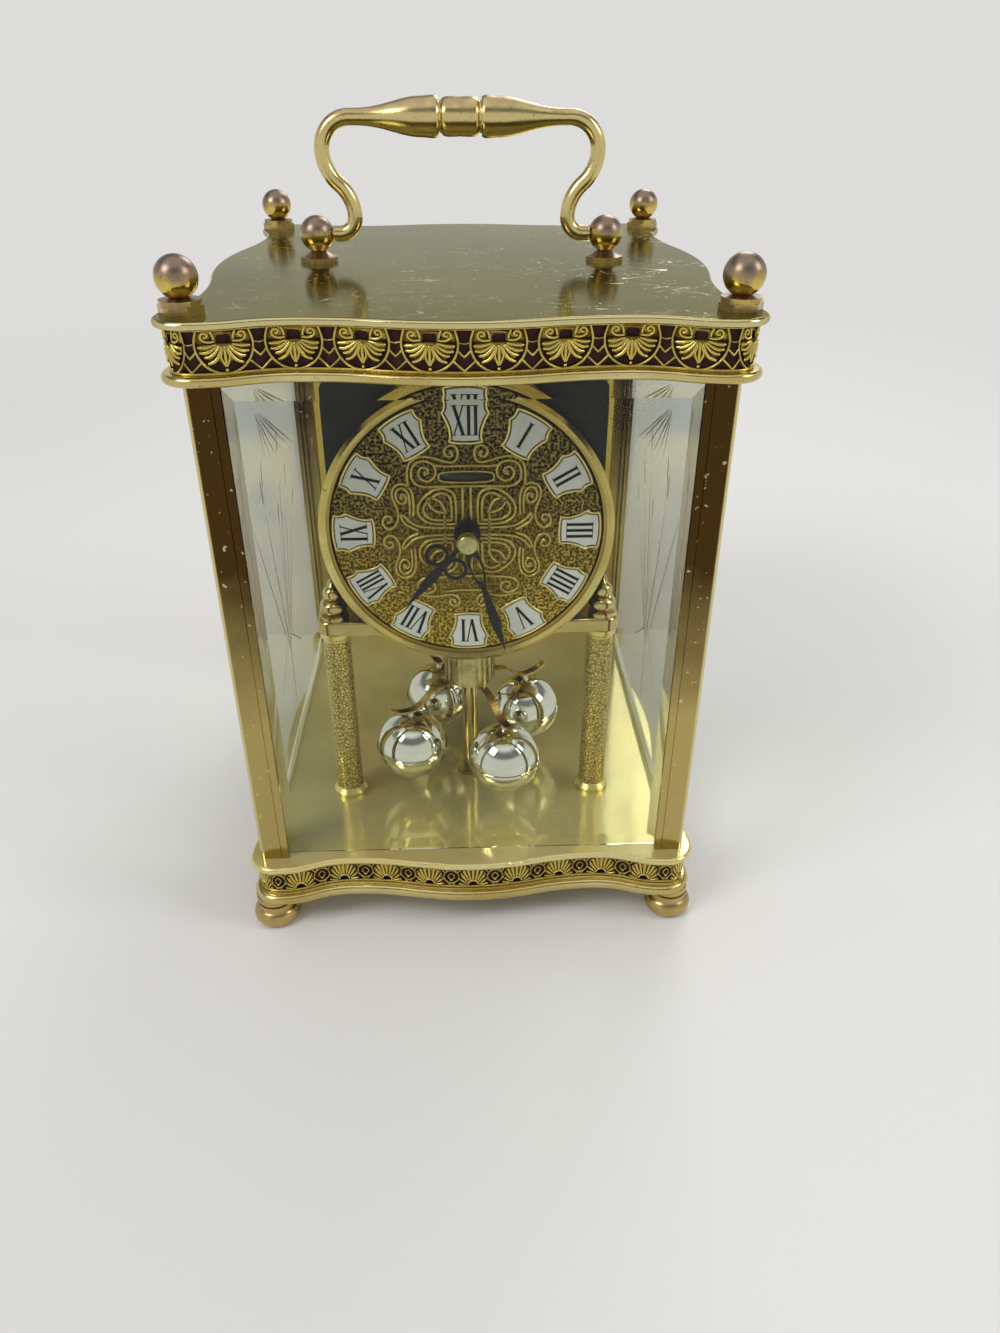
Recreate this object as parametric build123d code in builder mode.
from build123d import *
from math import asin, cos, degrees, hypot, radians, sin
import os

os.makedirs("parts", exist_ok=True)

# Outline of the plates
plate_half_x = 73.2
base_half_y = 82.0
top_overhang = 4.0
top_half_y = base_half_y + top_overhang
lobe_radius = 9.0
top_dip = 5.2
base_dip = 4.4
dip_x_share = 0.55
dip_y_share = 0.60

# Heights from the table upwards
foot_height = 11.5
base_lower_thick = 4.8
base_frieze_height = 9.0
base_upper_thick = 2.4
post_height = 155.9
gallery_lower_thick = 2.5
gallery_frieze_height = 10.6
top_plate_thick = 2.0
base_lower_z = foot_height
base_frieze_z = base_lower_z + base_lower_thick
base_upper_z = base_frieze_z + base_frieze_height
floor_z = base_upper_z + base_upper_thick
ceiling_z = floor_z + post_height
gallery_frieze_z = ceiling_z + gallery_lower_thick
top_plate_z = gallery_frieze_z + gallery_frieze_height
top_z = top_plate_z + top_plate_thick

# Corners, where the rods, feet and finials stand
corner_inset_x = 6.2
corner_inset_y = 8.3
corner_x = plate_half_x - corner_inset_x
corner_y = base_half_y - corner_inset_y
rod_radius = 1.2
rod_clearance = 0.1
overrun = 5.0
seat_gap = 0.1
running_gap = 0.05

# Corner posts, drawn brass angles with a channel for the glass
post_wall = 2.5
post_leg = 9.3
post_lip = 1.6
post_core = 6.0
post_inner_leg = 8.3
post_inner_lip = 1.0
post_edge_radius = 1.8
groove_at = 6.9
groove_width = 0.6
groove_depth = 0.5
glass_thick = 2.4
glass_gap = 0.05
glass_bevel = 6.0
glass_bevel_depth = 1.2
channel = glass_thick + 2 * glass_gap
post_face_x = corner_x + post_wall
post_face_y = corner_y + post_wall

# Rear door
door_thick = 2.0
door_recess = 0.2
door_gap = 0.8
door_rise_gap = 0.4
door_free_gap = 0.3
door_pin_radius = 0.6
door_pin_length = 6.0
door_stile = 6.0
door_panel_sink = 0.6
door_knob_radius = 3.0
door_knob_neck = 1.6
door_knob_neck_length = 1.6

# Plate edges
top_edge_radius = 0.9
gallery_edge_radius = 1.1
base_edge_radius = 1.1
foot_plate_edge_radius = 1.7
foot_plate_step = 0.8
foot_plate_step_height = 1.0

# Pierced friezes
frieze_inset = 2.2
frieze_thick = 0.8
liner_gap = 0.5
liner_thick = 0.8
top_front_motifs = 8
top_side_motifs = 10
base_front_motifs = 9
base_side_motifs = 10

# Feet
foot_radius = 7.7
foot_neck_radius = 6.2
foot_groove_radius = 5.5
foot_sole_radius = 5.6
foot_neck_height = 2.2
foot_groove_height = 0.8
foot_band_height = 2.3
foot_bore_depth = 7.5
foot_bulge_share = 0.6

# Finials
ball_radius = 5.1
finial_neck_radius = 2.3
finial_waist_share = 0.33
finial_flange_radius = 5.0
finial_flange_height = 1.2
finial_nut_flats = 9.6
finial_nut_height = 1.8
corner_ball_rise = 7.9
handle_ball_rise = 7.6
handle_finial_x = 43.3
handle_foot_radius = 5.6
handle_foot_height = 1.3
stud_radius = 1.8
stud_length = 7.0
nut_flats = 6.4
nut_height = 2.6
finial_bore_depth = 3.0

# Carrying handle
handle_radius = 2.2
handle_pin_radius = 1.5
handle_pin_depth = 3.6
handle_end_gap = 0.3
handle_run_in = 2.0
handle_low_radius = 4.6
handle_lean = 8.3
handle_leg_height = 17.6
handle_corner_radius = 8.3
grip_half_length = 30.0
grip_radius = 5.2
grip_ring_half = 5.2
grip_ring_radius = 5.0
grip_groove_radius = 4.1
grip_groove_width = 1.0
grip_swell_x = 11.0

# Movement stand
stand_x = 43.1
stand_setback = 34.2
stand_y = stand_setback - corner_y
column_radius = 4.4
column_ring_radius = 5.8
column_ring_height = 1.6
column_flare_height = 1.6
column_cap_flare_height = 0.8
column_height_share = 0.4214
column_height = post_height * column_height_share
column_cap_radius = 5.1
column_bore_depth = 8.0
platform_thick = 4.6
platform_end = 5.6
platform_front = 4.6
platform_depth = 36.0
platform_corner = 4.5
platform_edge_radius = 1.4
platform_hole_radius = 2.0
stand_finial_height = 12.5
stand_finial_turning_shares = [
    (1.00, 0.00),
    (1.00, 0.10),
    (0.60, 0.15),
    (1.00, 0.32),
    (0.40, 0.50),
    (0.70, 0.70),
    (0.25, 0.88),
]
screw_radius = 1.5
screw_head_radius = 3.0
screw_head_height = 1.6
platform_z = floor_z + column_height
shelf_z = platform_z + platform_thick

# Dial and movement
dial_height_share = 0.6575
dial_forward = 7.0
dial_z = floor_z + post_height * dial_height_share
dial_y = stand_y - dial_forward
dial_radius = 42.6
dial_thick = 1.0
dial_rim_radius = 44.2
dial_rim_depth = 4.1
dial_rim_front = 2.0
dial_rim_edge = 0.7
dial_hole_radius = 3.2
dial_stud_radius = 1.4
dial_stud_share = 0.72
plaque_ring_setback = 8.8
plaque_ring_radius = dial_radius - plaque_ring_setback
plaque_length = 12.4
plaque_outer_width = 11.2
plaque_thick = 0.7
plaque_growth_share = 1.12
plaque_outline_shares = [(1.00, 1.00), (0.45, 1.00), (-0.30, 0.71), (-1.00, 0.79)]
hours = 12
case_front_gap = 2.4
case_depth = 34.0
case_half_width = 41.0
case_base_gap = 8.1
case_base_half_width = stand_x - case_base_gap
case_base_height = 14.0
case_top_rise = 40.0
case_edge_radius = 2.0
bush_radius = 2.6
bush_length = 7.0
collar_radius = 4.0
collar_height = 2.6
pipe_outer_radius = 1.7
arbor_radius = 0.9
hand_thick = 0.5
hour_plane = 5.4
minute_plane = 7.6
cap_radius = 3.1
cap_height = 3.2
cap_edge_radius = 1.0
hour_length = 30.0
minute_length = 39.5
hour_angle = 220.5
minute_angle = 163.0
hand_hub_radius = 2.9
hour_loop_radius = 3.6
hour_loop_bar = 1.1
hour_loop_share = 0.33
hour_leaf_share = 0.55
minute_loop_half = 2.2
minute_loop_length = 13.0
minute_loop_bore_share = 0.33
minute_leaf_share = 0.70
hand_leaf_half = 1.7
hand_stem_half = 0.7
pipe_inset = 6.0

# Battery and setting knob
battery_radius = 7.1
battery_length = 50.0
battery_tip_radius = 2.7
battery_tip_length = 1.0
battery_gap = 0.3
battery_rise = 22.0
contact_thick = 0.6
contact_width = 8.0
contact_room = 1.0
knob_radius = 5.5
knob_height = 4.5
knob_shaft_radius = 1.4
knob_shaft_length = 8.0
knob_drop = 14.0
knob_gap = 0.5
knob_notches = 16
knob_notch = 0.5

# Pendulum
pendulum_setback = 11.5
pendulum_y = stand_y + pendulum_setback
ring_radius = 23.3
ring_turn = -16.0
pendulum_ball_radius = 12.0
seam_height = 1.0
seam_width = 0.35
ball_height_share = 0.1244
pendulum_ball_z = floor_z + post_height * ball_height_share
hub_radius = 8.8
hub_height_share = 0.2585
hub_z = floor_z + post_height * hub_height_share
hub_height = 15.0
hub_flutes = 24
flute_width = 0.9
flute_depth = 0.5
hub_lip_height = 1.2
arm_thick = 0.8
arm_width = 2.6
arm_root = 4.6
arm_seat = 8.0
arm_lift = 1.6
arm_tail = 7.5
arm_tail_rise = 2.6
ball_stem_radius = 1.0
spindle_radius = 1.0
spindle_socket = 4.0
guide_radius = 2.8
guide_flange_radius = 5.2
guide_flange_height = 1.4
guide_gap = 2.2
guide_engage = 4.0
guide_spigot_radius = 1.6


def s_bend(start, end, along):
    """Two equal arcs that leave the start and reach the end in the same direction."""
    middle = ((start[0] + end[0]) / 2, (start[1] + end[1]) / 2)
    TangentArc(start, middle, tangent=along)
    TangentArc(end, middle, tangent=(-along[0], -along[1]))


def serpentine(half_y, dip, inset=0):
    """Closed plate outline: round corner lobes, and a bulge at the middle of each side."""
    x = plate_half_x - inset
    y = half_y - inset
    r = lobe_radius - inset
    with BuildSketch(mode=Mode.PRIVATE) as outline:
        with BuildLine():
            side_dip = (plate_half_x * dip_x_share, dip - y)
            end_dip = (x - dip, -half_y * dip_y_share)
            s_bend((0, -y), side_dip, (1, 0))
            s_bend(side_dip, (x - r, -y), (1, 0))
            CenterArc((x - r, r - y), r, -90, 90)
            s_bend((x, r - y), end_dip, (0, 1))
            s_bend(end_dip, (x, 0), (0, 1))
            mirror(about=Plane.YZ)
            mirror(about=Plane.XZ)
        make_face()
    return outline.sketch


corner_places = [(sx * corner_x, sy * corner_y) for sx in (-1, 1) for sy in (-1, 1)]

# Lower base plate, with a step under the frieze and a rounded edge
with BuildPart() as base_lower_plate:
    with BuildSketch(Plane.XY.offset(base_lower_z)):
        add(serpentine(base_half_y, base_dip))
    extrude(amount=base_lower_thick - foot_plate_step_height)
    fillet(base_lower_plate.edges().group_by(Axis.Z)[-1], foot_plate_edge_radius)
    fillet(base_lower_plate.edges().group_by(Axis.Z)[0], foot_plate_edge_radius)
    with BuildSketch(Plane.XY.offset(base_lower_z + foot_plate_edge_radius)):
        add(serpentine(base_half_y, base_dip, foot_plate_step + foot_plate_edge_radius / 2))
    extrude(amount=base_lower_thick - foot_plate_edge_radius)
    with Locations(*[(x, y, base_lower_z) for x, y in corner_places]):
        Cylinder(rod_radius + rod_clearance, 2 * overrun + base_lower_thick, mode=Mode.SUBTRACT)
base_lower_plate.part.label = "base_lower_plate"
export_step(base_lower_plate.part, "parts/base_lower_plate.step")


def plate(z, thick, half_y, dip, edge_radius):
    """Serpentine plate with rounded edges and a hole for each corner rod."""
    with BuildPart() as body:
        with BuildSketch(Plane.XY.offset(z)):
            add(serpentine(half_y, dip))
        extrude(amount=thick)
        fillet(body.edges().group_by(Axis.Z)[-1] + body.edges().group_by(Axis.Z)[0], edge_radius)
        with Locations(*[(x, y, z) for x, y in corner_places]):
            Cylinder(rod_radius + rod_clearance, 2 * overrun + thick, mode=Mode.SUBTRACT)
    return body.part


door_axis_x = -(post_face_x - post_core - door_gap - door_thick / 2)
door_axis_y = post_face_y - door_recess - door_thick / 2

# Upper base plate, the floor of the case
with BuildPart() as base_upper_plate:
    add(plate(base_upper_z, base_upper_thick, base_half_y, base_dip, base_edge_radius))
    with Locations((-stand_x, stand_y, base_upper_z), (stand_x, stand_y, base_upper_z)):
        Cylinder(screw_radius, 2 * overrun, mode=Mode.SUBTRACT)
    with Locations((0, pendulum_y, base_upper_z)):
        Cylinder(guide_spigot_radius, 2 * overrun, mode=Mode.SUBTRACT)
    with Locations((door_axis_x, door_axis_y, base_upper_z)):
        Cylinder(door_pin_radius, 2 * overrun, mode=Mode.SUBTRACT)
base_upper_plate.part.label = "base_upper_plate"
export_step(base_upper_plate.part, "parts/base_upper_plate.step")

# Lower gallery plate, the ceiling of the case
with BuildPart() as gallery_lower_plate:
    add(plate(ceiling_z, gallery_lower_thick, top_half_y, top_dip, gallery_edge_radius))
    with Locations((door_axis_x, door_axis_y, ceiling_z)):
        Cylinder(door_pin_radius, 2 * overrun, mode=Mode.SUBTRACT)
gallery_lower_plate.part.label = "gallery_lower_plate"
export_step(gallery_lower_plate.part, "parts/gallery_lower_plate.step")

# Top plate, which carries the handle finials
with BuildPart() as top_plate:
    add(plate(top_plate_z, top_plate_thick, top_half_y, top_dip, top_edge_radius))
    with Locations((-handle_finial_x, 0, top_z), (handle_finial_x, 0, top_z)):
        Cylinder(stud_radius, 2 * overrun, mode=Mode.SUBTRACT)
top_plate.part.label = "top_plate"
export_step(top_plate.part, "parts/top_plate.step")

# Piercings of one motif, in shares of the pitch and of the band's height
shell_piercing_shares = [
    [(0.38, 0.90), (0.62, 0.90), (0.57, 0.58), (0.43, 0.58)],
    [(0.50, 0.44), (0.61, 0.12), (0.39, 0.12)],
    [(0.05, 0.12), (0.28, 0.17), (0.16, 0.38)],
    [(-0.05, 0.12), (-0.28, 0.17), (-0.16, 0.38)],
]
lattice_piercing_shares = [
    [(0.40, 0.90), (0.60, 0.90), (0.50, 0.60)],
    [(0.50, 0.50), (0.62, 0.29), (0.50, 0.08), (0.38, 0.29)],
    [(0.08, 0.90), (0.29, 0.90), (0.18, 0.60)],
    [(-0.08, 0.90), (-0.29, 0.90), (-0.18, 0.60)],
]


def frieze_strip(side, z, height, half_y, dip, motifs, shares):
    """One side of a pierced band, from the middle of one corner lobe to the next."""
    lobe_x = plate_half_x - lobe_radius
    lobe_y = half_y - lobe_radius
    if side == "front":
        run = 2 * lobe_x
        depth = half_y
        inner = (lobe_x, -lobe_y)
        plane = Plane.XZ.offset(lobe_y)
    else:
        run = 2 * lobe_y
        depth = plate_half_x
        inner = (lobe_x, lobe_y)
        plane = Plane.YZ.offset(lobe_x)
    pitch = run / motifs
    reach = lobe_radius + overrun
    with BuildPart() as strip:
        with BuildSketch(Plane.XY.offset(z)):
            add(serpentine(half_y, dip, frieze_inset))
            add(serpentine(half_y, dip, frieze_inset + frieze_thick), mode=Mode.SUBTRACT)
            with BuildLine():
                if side == "front":
                    wedge = [inner, (inner[0] + reach, inner[1] - reach)]
                    Polyline(*wedge, *[(-px, py) for px, py in reversed(wedge)], close=True)
                else:
                    wedge = [inner, (inner[0] + reach, inner[1] + reach)]
                    Polyline(*wedge, *[(px, -py) for px, py in reversed(wedge)], close=True)
            make_face(mode=Mode.INTERSECT)
        extrude(amount=height)
        with BuildSketch(plane):
            for k in range(motifs):
                middle = (k + 0.5) * pitch - run / 2
                for share in shares:
                    points = [(middle + u * pitch, z + v * height) for u, v in share]
                    if max(abs(p[0]) for p in points) < run / 2:
                        with BuildLine():
                            Polyline(*points, close=True)
                        make_face()
        extrude(amount=depth, mode=Mode.SUBTRACT)
    return strip.part


gallery_values = (gallery_frieze_z, gallery_frieze_height, top_half_y, top_dip)
base_values = (base_frieze_z, base_frieze_height, base_half_y, base_dip)

# Pierced gallery under the top plate
with BuildPart() as gallery_front:
    add(frieze_strip("front", *gallery_values, top_front_motifs, shell_piercing_shares))
with BuildPart() as gallery_back:
    mirror(gallery_front.part, about=Plane.XZ)
with BuildPart() as gallery_right:
    add(frieze_strip("side", *gallery_values, top_side_motifs, shell_piercing_shares))
with BuildPart() as gallery_left:
    mirror(gallery_right.part, about=Plane.YZ)

# Pierced band of the base
with BuildPart() as base_frieze_front:
    add(frieze_strip("front", *base_values, base_front_motifs, lattice_piercing_shares))
with BuildPart() as base_frieze_back:
    mirror(base_frieze_front.part, about=Plane.XZ)
with BuildPart() as base_frieze_right:
    add(frieze_strip("side", *base_values, base_side_motifs, lattice_piercing_shares))
with BuildPart() as base_frieze_left:
    mirror(base_frieze_right.part, about=Plane.YZ)

for name, strip in [
    ("gallery_front", gallery_front),
    ("gallery_back", gallery_back),
    ("gallery_right", gallery_right),
    ("gallery_left", gallery_left),
    ("base_frieze_front", base_frieze_front),
    ("base_frieze_back", base_frieze_back),
    ("base_frieze_right", base_frieze_right),
    ("base_frieze_left", base_frieze_left),
]:
    strip.part.label = name
    export_step(strip.part, f"parts/{name}.step")

# Dark linings that show through the piercings
for name, z, height, half_y, dip in [
    ("gallery_liner", *gallery_values),
    ("base_liner", *base_values),
]:
    liner_inset = frieze_inset + frieze_thick + liner_gap
    with BuildPart() as liner:
        with BuildSketch(Plane.XY.offset(z)):
            add(serpentine(half_y, dip, liner_inset))
            add(serpentine(half_y, dip, liner_inset + liner_thick), mode=Mode.SUBTRACT)
        extrude(amount=height)
    liner.part.label = name
    export_step(liner.part, f"parts/{name}.step")


def post_outline(rear):
    """Half of the angle's section, from its outer corner round the face towards the middle."""
    back = post_lip + channel
    inner = back + post_inner_lip
    if rear:
        stop = door_recess + door_thick + seat_gap
        return [(post_core, 0), (post_core, stop), (post_inner_leg, stop), (post_inner_leg, inner)]
    return [
        (groove_at, 0),
        (groove_at, groove_depth),
        (groove_at + groove_width, groove_depth),
        (groove_at + groove_width, 0),
        (post_leg, 0),
        (post_leg, post_lip),
        (post_core, post_lip),
        (post_core, back),
        (post_inner_leg, back),
        (post_inner_leg, inner),
    ]


# Corner posts
for name, sx, sy in [
    ("post_front_left", -1, -1),
    ("post_front_right", 1, -1),
    ("post_back_left", -1, 1),
    ("post_back_right", 1, 1),
]:
    inner_corner = post_lip + channel + post_inner_lip
    face_half = post_outline(sy > 0)
    side_half = [(v, u) for u, v in reversed(post_outline(False))]
    section = [(0, 0), *face_half, (inner_corner, inner_corner), *side_half]
    with BuildPart() as post:
        with BuildSketch(Plane.XY.offset(floor_z)):
            with BuildLine():
                Polyline(
                    *[(sx * (post_face_x - u), sy * (post_face_y - v)) for u, v in section],
                    close=True,
                )
            make_face()
        extrude(amount=post_height)
        with Locations((sx * corner_x, sy * corner_y, floor_z + post_height / 2)):
            Cylinder(rod_radius + rod_clearance, post_height + 2 * overrun, mode=Mode.SUBTRACT)
        outer_edge = post.edges().filter_by(Axis.Z).sort_by_distance(
            (sx * post_face_x, sy * post_face_y, floor_z + post_height / 2)
        )[0]
        fillet(outer_edge, post_edge_radius)
    post.part.label = name
    export_step(post.part, f"parts/{name}.step")

# Rods that draw the case together from the feet to the corner finials
rod_bottom = foot_height - foot_bore_depth + seat_gap
rod_top = top_z + finial_bore_depth - seat_gap
with BuildPart() as tie_rods:
    with Locations(*[(x, y, (rod_bottom + rod_top) / 2) for x, y in corner_places]):
        Cylinder(rod_radius, rod_top - rod_bottom)
tie_rods.part.label = "tie_rods"
export_step(tie_rods.part, "parts/tie_rods.step")

# Bun feet
band_z = foot_height - foot_neck_height - foot_groove_height - foot_band_height
with BuildPart() as foot:
    with BuildSketch(Plane.XZ):
        with BuildLine():
            Polyline(
                (0, 0),
                (foot_sole_radius, 0),
            )
            ThreePointArc(
                (foot_sole_radius, 0),
                (foot_radius, band_z * foot_bulge_share),
                (foot_neck_radius, band_z),
            )
            Polyline(
                (foot_neck_radius, band_z),
                (foot_neck_radius, band_z + foot_band_height),
                (foot_groove_radius, band_z + foot_band_height),
                (foot_groove_radius, foot_height - foot_neck_height),
                (foot_neck_radius, foot_height - foot_neck_height),
                (foot_neck_radius, foot_height),
                (0, foot_height),
                (0, 0),
            )
        make_face()
    revolve(axis=Axis.Z)
    with Locations((0, 0, foot_height - foot_bore_depth / 2)):
        Cylinder(rod_radius, foot_bore_depth, mode=Mode.SUBTRACT)
with BuildPart() as feet:
    with Locations(*corner_places):
        add(foot.part)
feet.part.label = "feet"
export_step(feet.part, "parts/feet.step")


def turned_ball(flare_radius, flare_rise, neck_radius, ball_rise):
    """Ball on a waisted neck over a round foot, standing on the origin."""
    neck_z = ball_rise - (ball_radius**2 - neck_radius**2) ** 0.5
    with BuildPart() as turned:
        with BuildSketch(Plane.XZ):
            with BuildLine():
                Polyline((0, 0), (flare_radius, 0), (flare_radius, flare_rise))
                ThreePointArc(
                    (flare_radius, flare_rise),
                    (
                        (flare_radius + neck_radius) / 2 - flare_rise * finial_waist_share,
                        (flare_rise + neck_z) / 2,
                    ),
                    (neck_radius, neck_z),
                )
                Polyline((neck_radius, neck_z), (0, neck_z), (0, 0))
            make_face()
        revolve(axis=Axis.Z)
        with Locations((0, 0, ball_rise)):
            Sphere(ball_radius)
    return turned.part


# Corner finials, screwed on the rods by their hexagon base
with BuildPart() as corner_finial:
    with BuildSketch():
        RegularPolygon(finial_nut_flats / 2, 6, major_radius=False)
    extrude(amount=finial_nut_height)
    with Locations((0, 0, finial_nut_height)):
        add(
            turned_ball(
                finial_flange_radius,
                finial_flange_height,
                finial_neck_radius,
                corner_ball_rise - finial_nut_height,
            )
        )
    with Locations((0, 0, finial_bore_depth / 2)):
        Cylinder(rod_radius, finial_bore_depth, mode=Mode.SUBTRACT)
for name, x, y in [
    ("corner_finial_front_left", -corner_x, -corner_y),
    ("corner_finial_front_right", corner_x, -corner_y),
    ("corner_finial_back_left", -corner_x, corner_y),
    ("corner_finial_back_right", corner_x, corner_y),
]:
    with BuildPart() as placed:
        with Locations((x, y, top_z)):
            add(corner_finial.part)
    placed.part.label = name
    export_step(placed.part, f"parts/{name}.step")

# Handle finials, bored across for the handle's pins, with a stud through the top plate
handle_z = top_z + handle_ball_rise
pin_end = handle_finial_x - ball_radius + handle_pin_depth + handle_end_gap
for name, sx in [("handle_finial_left", -1), ("handle_finial_right", 1)]:
    with BuildPart() as finial:
        with Locations((sx * handle_finial_x, 0, top_z)):
            add(turned_ball(handle_foot_radius, handle_foot_height, finial_neck_radius, handle_ball_rise))
        with Locations((sx * handle_finial_x, 0, top_z - stud_length / 2)):
            Cylinder(stud_radius, stud_length)
        bore_length = pin_end + seat_gap - handle_finial_x + ball_radius + overrun
        with Locations((sx * (pin_end + seat_gap - bore_length / 2), 0, handle_z)):
            Cylinder(
                handle_pin_radius + running_gap,
                bore_length,
                rotation=(0, 90, 0),
                mode=Mode.SUBTRACT,
            )
    finial.part.label = name
    export_step(finial.part, f"parts/{name}.step")

# Nuts under the top plate
with BuildPart() as handle_nuts:
    with BuildSketch(Plane.XY.offset(top_plate_z - nut_height)):
        with Locations((-handle_finial_x, 0), (handle_finial_x, 0)):
            RegularPolygon(nut_flats / 2, 6, major_radius=False)
            Circle(stud_radius, mode=Mode.SUBTRACT)
    extrude(amount=nut_height)
handle_nuts.part.label = "handle_nuts"
export_step(handle_nuts.part, "parts/handle_nuts.step")

# Handle: bent legs with a turned grip, hung on pins in the two finial balls
leg_end = handle_finial_x - ball_radius
lean_angle = 2 * degrees(asin(handle_lean / hypot(handle_lean, handle_leg_height)))
lean_radius = handle_leg_height / 2 / sin(radians(lean_angle))
with BuildPart() as handle:
    with BuildLine(Plane.XZ) as leg_path:
        run_in = Line((leg_end - handle_end_gap, handle_z), (leg_end - handle_run_in, handle_z))
        low = JernArc(run_in @ 1, run_in % 1, handle_low_radius, -90)
        out = JernArc(low @ 1, low % 1, lean_radius, -lean_angle)
        back = JernArc(out @ 1, out % 1, lean_radius, lean_angle)
        top = JernArc(back @ 1, back % 1, handle_corner_radius, 90)
        Line(top @ 1, (0, (top @ 1).Z))
    grip_z = (top @ 1).Z
    with BuildSketch(Plane.YZ.offset(leg_end - handle_end_gap)):
        with Locations((0, handle_z)):
            Circle(handle_radius)
    sweep()
    mirror(about=Plane.YZ)
    with BuildSketch(Plane.XZ):
        with BuildLine():
            groove_x = grip_ring_half + grip_groove_width / 2
            swell_start = grip_ring_half + grip_groove_width
            Spline(
                (grip_half_length, grip_z + handle_radius),
                (grip_swell_x, grip_z + grip_radius),
                (swell_start, grip_z + grip_ring_radius),
                tangents=[(-1, 0), (-1, 0), (-1, -1)],
            )
            ThreePointArc(
                (swell_start, grip_z + grip_ring_radius),
                (groove_x, grip_z + grip_groove_radius),
                (grip_ring_half, grip_z + grip_ring_radius - grip_groove_width / 2),
            )
            Spline(
                (grip_ring_half, grip_z + grip_ring_radius - grip_groove_width / 2),
                (0, grip_z + grip_ring_radius),
                tangents=[(-1, 1), (-1, 0)],
            )
            mirror(about=Plane.YZ)
            Polyline(
                (grip_half_length, grip_z + handle_radius),
                (grip_half_length, grip_z),
                (-grip_half_length, grip_z),
                (-grip_half_length, grip_z + handle_radius),
            )
        make_face()
    revolve(axis=Axis((0, 0, grip_z), (1, 0, 0)))
    pin_length = pin_end - leg_end + handle_run_in
    with Locations(*[(sx * (pin_end - pin_length / 2), 0, handle_z) for sx in (-1, 1)]):
        Cylinder(handle_pin_radius, pin_length, rotation=(0, 90, 0))
handle.part.label = "handle"
export_step(handle.part, "parts/handle.step")


def bevelled_pane(width, height):
    """Pane lying on the ground plane, with its outer edges ground to a wide bevel."""
    with BuildPart() as pane:
        with BuildSketch():
            Rectangle(width, height)
        extrude(amount=glass_thick - glass_bevel_depth)
        with BuildSketch(Plane.XY.offset(glass_thick - glass_bevel_depth)):
            Rectangle(width, height)
        with BuildSketch(Plane.XY.offset(glass_thick)):
            Rectangle(width - 2 * glass_bevel, height - 2 * glass_bevel)
        loft()
    return pane.part


pane_height = post_height - 2 * seat_gap
pane_mid_z = floor_z + post_height / 2
front_pane_width = 2 * (post_face_x - post_core - seat_gap)
side_pane_width = 2 * (post_face_y - post_core - seat_gap)
pane_back = post_lip + glass_gap + glass_thick

# Bevelled panes, held in the channels of the posts
with BuildPart() as front_glass:
    with Locations(Plane((0, pane_back - post_face_y, pane_mid_z), x_dir=(1, 0, 0), z_dir=(0, -1, 0))):
        add(bevelled_pane(front_pane_width, pane_height))
with BuildPart() as right_glass:
    with Locations(Plane((post_face_x - pane_back, 0, pane_mid_z), x_dir=(0, 1, 0), z_dir=(1, 0, 0))):
        add(bevelled_pane(side_pane_width, pane_height))
with BuildPart() as left_glass:
    mirror(right_glass.part, about=Plane.YZ)
for name, pane in [
    ("front_glass", front_glass),
    ("right_glass", right_glass),
    ("left_glass", left_glass),
]:
    pane.part.label = name
    export_step(pane.part, f"parts/{name}.step")

# Rear door: a sheet with a sunk panel, and a rolled edge for its pins
door_free_x = post_face_x - post_core - door_free_gap
door_height = post_height - 2 * door_rise_gap
door_bottom = floor_z + door_rise_gap
with BuildPart() as back_door:
    with BuildSketch(Plane.XY.offset(door_bottom)):
        with Locations((door_axis_x, door_axis_y)):
            Circle(door_thick / 2)
        with Locations(((door_axis_x + door_free_x) / 2, door_axis_y)):
            Rectangle(door_free_x - door_axis_x, door_thick)
    extrude(amount=door_height)
    panel_width = door_free_x - door_axis_x - 2 * door_stile
    with Locations(
        (
            (door_axis_x + door_free_x) / 2,
            door_axis_y + door_thick / 2,
            pane_mid_z,
        )
    ):
        Box(panel_width, 2 * door_panel_sink, door_height - 2 * door_stile, mode=Mode.SUBTRACT)
    pin_room = door_pin_length - base_upper_thick
    for z in (door_bottom, door_bottom + door_height):
        with Locations((door_axis_x, door_axis_y, z)):
            Cylinder(door_pin_radius + running_gap, 2 * pin_room, mode=Mode.SUBTRACT)
    knob_x = door_free_x - door_stile - door_knob_radius - door_panel_sink
    with Locations((knob_x, door_axis_y, pane_mid_z)):
        Cylinder(door_knob_neck, 2 * overrun, rotation=(90, 0, 0), mode=Mode.SUBTRACT)
back_door.part.label = "back_door"
export_step(back_door.part, "parts/back_door.step")

# Pins of the rear door, fast in the two plates
with BuildPart() as door_pins:
    with Locations(
        (door_axis_x, door_axis_y, base_upper_z + door_pin_length / 2),
        (door_axis_x, door_axis_y, ceiling_z + gallery_lower_thick - door_pin_length / 2),
    ):
        Cylinder(door_pin_radius, door_pin_length)
door_pins.part.label = "door_pins"
export_step(door_pins.part, "parts/door_pins.step")

# Turned knob of the rear door, with its neck through the sheet
neck_length = door_thick + door_knob_neck_length
knob_ball_y = door_axis_y + door_thick / 2 + door_knob_neck_length + door_knob_neck
with BuildPart() as door_knob:
    with Locations((knob_x, door_axis_y + door_knob_neck_length / 2, pane_mid_z)):
        Cylinder(door_knob_neck, neck_length, rotation=(90, 0, 0))
    with Locations((knob_x, knob_ball_y, pane_mid_z)):
        Sphere(door_knob_radius)
door_knob.part.label = "door_knob"
export_step(door_knob.part, "parts/door_knob.step")

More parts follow.
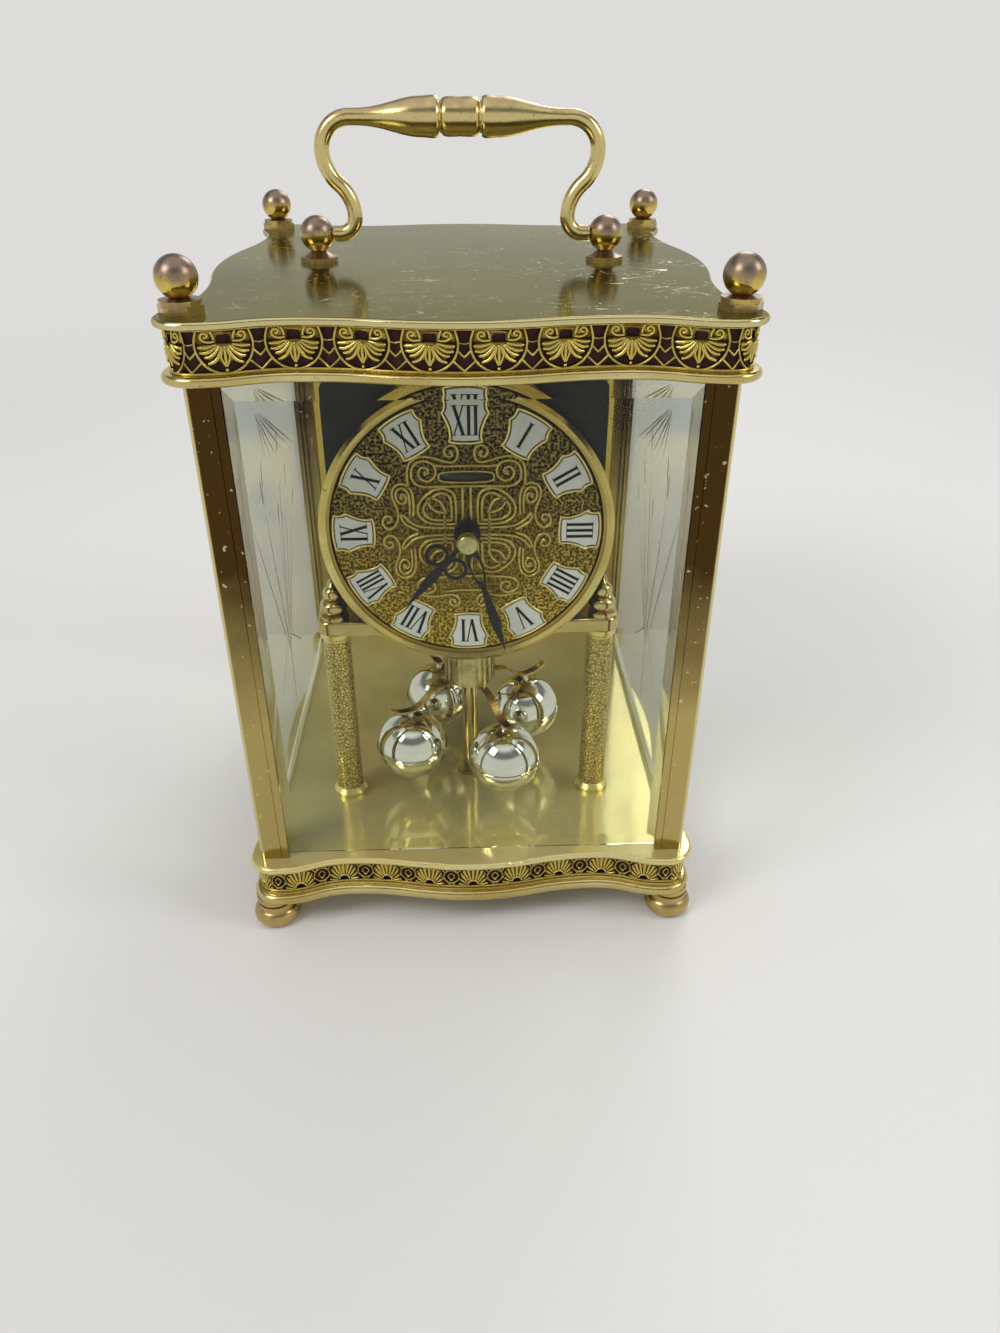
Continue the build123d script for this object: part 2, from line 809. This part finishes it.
# Columns of the movement stand
for name, sx in [("column_left", -1), ("column_right", 1)]:
    with BuildPart() as column:
        with BuildSketch(Plane.XZ):
            with BuildLine():
                waist_z = column_ring_height + column_flare_height
                cap_z = column_height - column_ring_height
                Polyline(
                    (0, 0),
                    (column_ring_radius, 0),
                    (column_ring_radius, column_ring_height),
                    (column_radius, waist_z),
                    (column_radius, cap_z - column_cap_flare_height),
                    (column_cap_radius, cap_z),
                    (column_cap_radius, column_height),
                    (0, column_height),
                    close=True,
                )
            make_face()
        revolve(axis=Axis.Z)
        with Locations((0, 0, column_bore_depth / 2), (0, 0, column_height - column_bore_depth / 2)):
            Cylinder(screw_radius, column_bore_depth, mode=Mode.SUBTRACT)
    with BuildPart() as placed:
        with Locations((sx * stand_x, stand_y, floor_z)):
            add(column.part)
    placed.part.label = name
    export_step(placed.part, f"parts/{name}.step")

# Screws that hold the columns from below the floor
with BuildPart() as column_screws:
    for sx in (-1, 1):
        screw_length = base_upper_thick + column_bore_depth - seat_gap
        with Locations((sx * stand_x, stand_y, base_upper_z + screw_length / 2)):
            Cylinder(screw_radius, screw_length)
        with Locations((sx * stand_x, stand_y, base_upper_z - screw_head_height / 2)):
            Cylinder(screw_head_radius, screw_head_height)
column_screws.part.label = "column_screws"
export_step(column_screws.part, "parts/column_screws.step")

# Platform on the columns
platform_width = 2 * (stand_x + platform_end)
platform_mid_y = stand_y - platform_front + platform_depth / 2
with BuildPart() as platform:
    with BuildSketch(Plane.XY.offset(platform_z)):
        with Locations((0, platform_mid_y)):
            RectangleRounded(platform_width, platform_depth, platform_corner)
    extrude(amount=platform_thick)
    fillet(platform.edges().group_by(Axis.Z)[-1], platform_edge_radius)
    with Locations((-stand_x, stand_y, platform_z), (stand_x, stand_y, platform_z)):
        Cylinder(screw_radius, 2 * (platform_thick + overrun), mode=Mode.SUBTRACT)
    with Locations((0, pendulum_y, platform_z)):
        Cylinder(platform_hole_radius, 2 * (platform_thick + overrun), mode=Mode.SUBTRACT)
platform.part.label = "platform"
export_step(platform.part, "parts/platform.step")

# Finials of the stand, with studs down into the columns
with BuildPart() as stand_finial:
    turning = [(u * column_radius, v * stand_finial_height) for u, v in stand_finial_turning_shares]
    with BuildSketch(Plane.XZ):
        with BuildLine():
            Polyline((0, 0), *turning[0:3])
            ThreePointArc(*turning[2:5])
            ThreePointArc(*turning[4:7])
            Polyline(turning[-1], (0, stand_finial_height), (0, 0))
        make_face()
    revolve(axis=Axis.Z)
    stud = platform_thick + column_bore_depth - seat_gap
    with Locations((0, 0, -stud / 2)):
        Cylinder(screw_radius, stud)
with BuildPart() as column_finials:
    with Locations((-stand_x, stand_y, shelf_z), (stand_x, stand_y, shelf_z)):
        add(stand_finial.part)
column_finials.part.label = "column_finials"
export_step(column_finials.part, "parts/column_finials.step")

# Movement case, which stands on the platform behind the dial
case_front = dial_y + dial_thick + case_front_gap
case_back = case_front + case_depth
bay_z = dial_z + battery_rise
bay_half = battery_radius + battery_gap
bay_length = battery_length + battery_tip_length + 2 * contact_room
knob_z = dial_z - knob_drop
with BuildPart() as movement_case:
    with BuildSketch(Plane.XZ.offset(-case_back)):
        with BuildLine():
            shoulder_z = shelf_z + case_base_height
            Polyline(
                (case_base_half_width, shelf_z),
                (case_base_half_width, shoulder_z),
                (case_half_width, shoulder_z + case_edge_radius),
                (case_half_width, dial_z + case_top_rise),
                (0, dial_z + case_top_rise),
            )
            Line((0, shelf_z), (case_base_half_width, shelf_z))
            mirror(about=Plane.YZ)
        make_face()
    extrude(amount=case_depth)
    fillet(movement_case.edges().group_by(Axis.Z)[-1].filter_by(Axis.Y), case_edge_radius)
    with Locations((battery_tip_length / 2, case_back, bay_z)):
        Box(bay_length, 4 * bay_half, 2 * bay_half, mode=Mode.SUBTRACT)
    with Locations((0, case_back, knob_z)):
        Cylinder(
            knob_shaft_radius + running_gap,
            2 * knob_shaft_length,
            rotation=(90, 0, 0),
            mode=Mode.SUBTRACT,
        )
    bush_tip = dial_y - bush_length + dial_thick + case_front_gap
    with Locations((0, (case_front + bush_tip) / 2, dial_z)):
        Cylinder(bush_radius, case_front - bush_tip, rotation=(90, 0, 0))
    pipe_bore = case_front + pipe_inset - bush_tip + overrun
    with Locations((0, case_front + pipe_inset + seat_gap - pipe_bore / 2, dial_z)):
        Cylinder(pipe_outer_radius + running_gap, pipe_bore, rotation=(90, 0, 0), mode=Mode.SUBTRACT)
    arbor_bore = pipe_bore + pipe_inset
    with Locations((0, case_front + 2 * pipe_inset - arbor_bore / 2, dial_z)):
        Cylinder(arbor_radius + running_gap, arbor_bore, rotation=(90, 0, 0), mode=Mode.SUBTRACT)
    with Locations((0, pendulum_y, shelf_z)):
        Cylinder(spindle_radius + running_gap, 2 * spindle_socket, mode=Mode.SUBTRACT)
movement_case.part.label = "movement_case"
export_step(movement_case.part, "parts/movement_case.step")

# Battery and its contacts
with BuildPart() as battery:
    with Locations((0, case_back - bay_half, bay_z)):
        Cylinder(battery_radius, battery_length, rotation=(0, 90, 0))
    with Locations(((battery_length + battery_tip_length) / 2, case_back - bay_half, bay_z)):
        Cylinder(battery_tip_radius, battery_tip_length, rotation=(0, 90, 0))
battery.part.label = "battery"
export_step(battery.part, "parts/battery.step")
with BuildPart() as battery_contacts:
    for sx in (-1, 1):
        contact_x = (battery_tip_length + sx * (bay_length - contact_thick)) / 2
        with Locations((contact_x, case_back - bay_half, bay_z)):
            Box(contact_thick, contact_width, contact_width)
battery_contacts.part.label = "battery_contacts"
export_step(battery_contacts.part, "parts/battery_contacts.step")

# Setting knob on the back of the movement
with BuildPart() as set_knob:
    with BuildSketch(Plane.XZ.offset(-(case_back + knob_gap))):
        with Locations((0, knob_z)):
            Circle(knob_radius)
            with PolarLocations(knob_radius, knob_notches):
                Rectangle(knob_notch, knob_notch, mode=Mode.SUBTRACT)
    extrude(amount=-knob_height)
    with Locations((0, case_back + knob_gap - (knob_shaft_length - seat_gap + knob_gap) / 2, knob_z)):
        Cylinder(knob_shaft_radius, knob_shaft_length - seat_gap + knob_gap, rotation=(90, 0, 0))
set_knob.part.label = "set_knob"
export_step(set_knob.part, "parts/set_knob.step")

# Dial plate, with studs to the front of the movement
dial_plane = Plane.XZ.offset(-dial_y)
with BuildPart() as dial_plate:
    with BuildSketch(dial_plane):
        with Locations((0, dial_z)):
            Circle(dial_radius - seat_gap)
            Circle(dial_hole_radius, mode=Mode.SUBTRACT)
    extrude(amount=-dial_thick)
    with BuildSketch(Plane.XZ.offset(-dial_y - dial_thick)):
        with Locations((0, dial_z)):
            with PolarLocations(dial_radius * dial_stud_share, 4, start_angle=45):
                Circle(dial_stud_radius)
    extrude(amount=-case_front_gap)
dial_plate.part.label = "dial_plate"
export_step(dial_plate.part, "parts/dial_plate.step")

# Rim round the dial, with a lip over the plate's edge
with BuildPart() as dial_rim:
    with BuildSketch(Plane.YZ):
        rim_front = dial_y - dial_rim_front
        with BuildLine():
            Polyline(
                (rim_front + dial_rim_edge, dial_z + dial_rim_radius),
                (rim_front + dial_rim_depth, dial_z + dial_rim_radius),
                (rim_front + dial_rim_depth, dial_z + dial_radius),
                (dial_y, dial_z + dial_radius),
                (dial_y, dial_z + dial_radius - dial_rim_edge),
                (rim_front + dial_rim_edge, dial_z + dial_radius - dial_rim_edge),
                (rim_front, dial_z + (dial_radius + dial_rim_radius - dial_rim_edge) / 2),
                close=True,
            )
        make_face()
    revolve(axis=Axis((0, 0, dial_z), (0, 1, 0)))
dial_rim.part.label = "dial_rim"
export_step(dial_rim.part, "parts/dial_rim.step")

# Twelve shield plaques for the hour numerals
def shield(grow):
    """Plaque outline, its own X running outwards: straight ends and waisted sides."""
    outline = [
        (u * grow * plaque_length / 2, v * grow * plaque_outer_width / 2)
        for u, v in plaque_outline_shares
    ]
    with BuildSketch(mode=Mode.PRIVATE) as plaque:
        with BuildLine():
            Line((outline[0][0], 0), outline[0])
            Line(outline[0], outline[1])
            ThreePointArc(*outline[1:4])
            Line(outline[3], (outline[3][0], 0))
            mirror(about=Plane.XZ)
        make_face()
    return plaque.sketch


hour_step = 360 / hours
with BuildPart() as numeral_plaques:
    with BuildSketch(dial_plane):
        with Locations((0, dial_z)):
            with PolarLocations(plaque_ring_radius, hours - 1, 90 + hour_step, 360 - hour_step):
                add(shield(1))
            with PolarLocations(plaque_ring_radius, 1, 90):
                add(shield(plaque_growth_share))
    extrude(amount=plaque_thick)
numeral_plaques.part.label = "numeral_plaques"
export_step(numeral_plaques.part, "parts/numeral_plaques.step")

# Collar nut that holds the dial on the movement's bush
with BuildPart() as centre_nut:
    with BuildSketch(dial_plane):
        with Locations((0, dial_z)):
            Circle(collar_radius)
            Circle(bush_radius, mode=Mode.SUBTRACT)
    extrude(amount=collar_height)
centre_nut.part.label = "centre_nut"
export_step(centre_nut.part, "parts/centre_nut.step")


def hand_frame(plane_out, angle):
    """Plane of a hand: its own X runs from the arbor towards the tip."""
    tip = (sin(radians(angle)), 0, cos(radians(angle)))
    return Plane((0, dial_y - plane_out, dial_z), x_dir=tip, z_dir=(0, -1, 0))


# Hour hand with two side loops, on its pipe
with BuildPart() as hour_hand:
    with BuildSketch(hand_frame(hour_plane, hour_angle)):
        Circle(hand_hub_radius)
        loop_x = hour_length * hour_loop_share
        loop_y = hour_loop_radius
        with Locations((loop_x, loop_y), (loop_x, -loop_y)):
            Circle(hour_loop_radius)
        with BuildLine():
            Polyline(
                (0, hand_stem_half),
                (loop_x, hand_stem_half),
                (hour_length * hour_leaf_share, hand_leaf_half),
                (hour_length, 0),
                (hour_length * hour_leaf_share, -hand_leaf_half),
                (loop_x, -hand_stem_half),
                (0, -hand_stem_half),
                close=True,
            )
        make_face()
        with Locations((loop_x, loop_y), (loop_x, -loop_y)):
            Circle(hour_loop_radius - hour_loop_bar, mode=Mode.SUBTRACT)
        Circle(pipe_outer_radius, mode=Mode.SUBTRACT)
    extrude(amount=hand_thick)
hour_hand.part.label = "hour_hand"
export_step(hour_hand.part, "parts/hour_hand.step")
pipe_front = dial_y - hour_plane - hand_thick
with BuildPart() as hour_pipe:
    with BuildSketch(Plane.XZ.offset(-(case_front + pipe_inset))):
        with Locations((0, dial_z)):
            Circle(pipe_outer_radius)
            Circle(arbor_radius + running_gap, mode=Mode.SUBTRACT)
    extrude(amount=case_front + pipe_inset - pipe_front)
hour_pipe.part.label = "hour_pipe"
export_step(hour_pipe.part, "parts/hour_pipe.step")

# Minute hand with one long loop and a leaf, on its arbor
with BuildPart() as minute_hand:
    with BuildSketch(hand_frame(minute_plane, minute_angle)):
        Circle(hand_hub_radius)
        with BuildLine():
            loop_end = hand_hub_radius + minute_loop_length
            loop_mid = (hand_hub_radius + loop_end) / 2
            Polyline((0, -hand_stem_half), (0, hand_stem_half))
            ThreePointArc((0, hand_stem_half), (loop_mid, minute_loop_half), (loop_end, hand_stem_half))
            Polyline(
                (loop_end, hand_stem_half),
                (minute_length * minute_leaf_share, hand_leaf_half),
                (minute_length, 0),
                (minute_length * minute_leaf_share, -hand_leaf_half),
                (loop_end, -hand_stem_half),
            )
            ThreePointArc(
                (loop_end, -hand_stem_half), (loop_mid, -minute_loop_half), (0, -hand_stem_half)
            )
        make_face()
        with Locations((loop_mid, 0)):
            bore_half = minute_loop_length * minute_loop_bore_share
            Ellipse(bore_half, minute_loop_half - hand_stem_half, mode=Mode.SUBTRACT)
        Circle(arbor_radius, mode=Mode.SUBTRACT)
    extrude(amount=hand_thick)
minute_hand.part.label = "minute_hand"
export_step(minute_hand.part, "parts/minute_hand.step")
cap_base = dial_y - minute_plane - hand_thick
arbor_back = case_front + 2 * pipe_inset - seat_gap
with BuildPart() as minute_arbor:
    with BuildSketch(Plane.XZ.offset(-arbor_back)):
        with Locations((0, dial_z)):
            Circle(arbor_radius)
    extrude(amount=arbor_back - cap_base + cap_height / 2)
minute_arbor.part.label = "minute_arbor"
export_step(minute_arbor.part, "parts/minute_arbor.step")
with BuildPart() as hand_cap:
    with BuildSketch(Plane.XZ.offset(-cap_base)):
        with Locations((0, dial_z)):
            Circle(cap_radius)
    extrude(amount=cap_height)
    fillet(hand_cap.faces().sort_by(Axis.Y)[0].edges(), cap_edge_radius)
    with Locations((0, cap_base, dial_z)):
        Cylinder(arbor_radius, cap_height, rotation=(90, 0, 0), mode=Mode.SUBTRACT)
hand_cap.part.label = "hand_cap"
export_step(hand_cap.part, "parts/hand_cap.step")

# Guide post on the floor, which steadies the spindle from below
guide_top = hub_z - guide_gap
with BuildPart() as guide_post:
    with BuildSketch(Plane.XY.offset(floor_z)):
        with Locations((0, pendulum_y)):
            Circle(guide_radius)
    extrude(amount=guide_top - floor_z)
    with BuildSketch(Plane.XY.offset(floor_z)):
        with Locations((0, pendulum_y)):
            Circle(guide_flange_radius)
    extrude(amount=guide_flange_height)
    with BuildSketch(Plane.XY.offset(base_upper_z)):
        with Locations((0, pendulum_y)):
            Circle(guide_spigot_radius)
    extrude(amount=base_upper_thick)
    with Locations((0, pendulum_y, guide_top)):
        Cylinder(spindle_radius + running_gap, 2 * guide_engage, mode=Mode.SUBTRACT)
guide_post.part.label = "guide_post"
export_step(guide_post.part, "parts/guide_post.step")

# Spindle that hangs in the movement and carries the pendulum
spindle_bottom = guide_top - guide_engage + seat_gap
spindle_top = shelf_z + spindle_socket - seat_gap
with BuildPart() as pendulum_spindle:
    with Locations((0, pendulum_y, (spindle_bottom + spindle_top) / 2)):
        Cylinder(spindle_radius, spindle_top - spindle_bottom)
pendulum_spindle.part.label = "pendulum_spindle"
export_step(pendulum_spindle.part, "parts/pendulum_spindle.step")

# Fluted hub
with BuildPart() as pendulum_hub:
    with BuildSketch(Plane.XY.offset(hub_z)):
        with Locations((0, pendulum_y)):
            Circle(hub_radius)
            with PolarLocations(hub_radius, hub_flutes):
                Rectangle(2 * flute_depth, flute_width, mode=Mode.SUBTRACT)
            Circle(spindle_radius, mode=Mode.SUBTRACT)
    extrude(amount=hub_height)
    with BuildSketch(Plane.XY.offset(hub_z + hub_height - hub_lip_height)):
        with Locations((0, pendulum_y)):
            Circle(hub_radius)
            Circle(spindle_radius, mode=Mode.SUBTRACT)
    extrude(amount=hub_lip_height)
pendulum_hub.part.label = "pendulum_hub"
export_step(pendulum_hub.part, "parts/pendulum_hub.step")

# Curved arms, which rise into the underside of the hub and end in a lifted tail
ball_top = pendulum_ball_z + pendulum_ball_radius
arm_z = ball_top + arm_lift
ball_angles = {
    "back_right": 45 + ring_turn,
    "back_left": 135 + ring_turn,
    "front_left": 225 + ring_turn,
    "front_right": 315 + ring_turn,
}
with BuildPart() as pendulum_arms:
    for angle in ball_angles.values():
        out = (cos(radians(angle)), sin(radians(angle)), 0)
        side = (-sin(radians(angle)), cos(radians(angle)), 0)
        arm_plane = Plane((0, pendulum_y, 0), x_dir=out, z_dir=(out[1], -out[0], 0))
        with BuildSketch(arm_plane):
            with BuildLine():
                lower = [
                    (arm_seat, hub_z - arm_thick),
                    (ring_radius, arm_z),
                    (ring_radius + arm_tail, arm_z + arm_tail_rise),
                ]
                slopes = [(1, 0), (1, 0), (1, 1)]
                upper = [(px, pz + arm_thick) for px, pz in lower]
                Spline(*lower, tangents=slopes)
                Line(lower[-1], upper[-1])
                Spline(*upper, tangents=slopes)
                Polyline(upper[0], (arm_root, hub_z), (arm_root, hub_z - arm_thick), lower[0])
            make_face()
        extrude(amount=arm_width / 2, both=True)
pendulum_arms.part.label = "pendulum_arms"
export_step(pendulum_arms.part, "parts/pendulum_arms.step")

# Bright balls, each with a seam round its middle and a stem up to its arm
with BuildPart() as pendulum_ball:
    Sphere(pendulum_ball_radius)
    Cylinder(pendulum_ball_radius + seam_width, seam_height)
    stem = arm_lift + pendulum_ball_radius / 2
    with Locations((0, 0, pendulum_ball_radius + arm_lift - stem / 2)):
        Cylinder(ball_stem_radius, stem)
for place, angle in ball_angles.items():
    name = f"pendulum_ball_{place}"
    x = ring_radius * cos(radians(angle))
    y = pendulum_y + ring_radius * sin(radians(angle))
    with BuildPart() as placed:
        with Locations((x, y, pendulum_ball_z)):
            add(pendulum_ball.part)
    placed.part.label = name
    export_step(placed.part, f"parts/{name}.step")
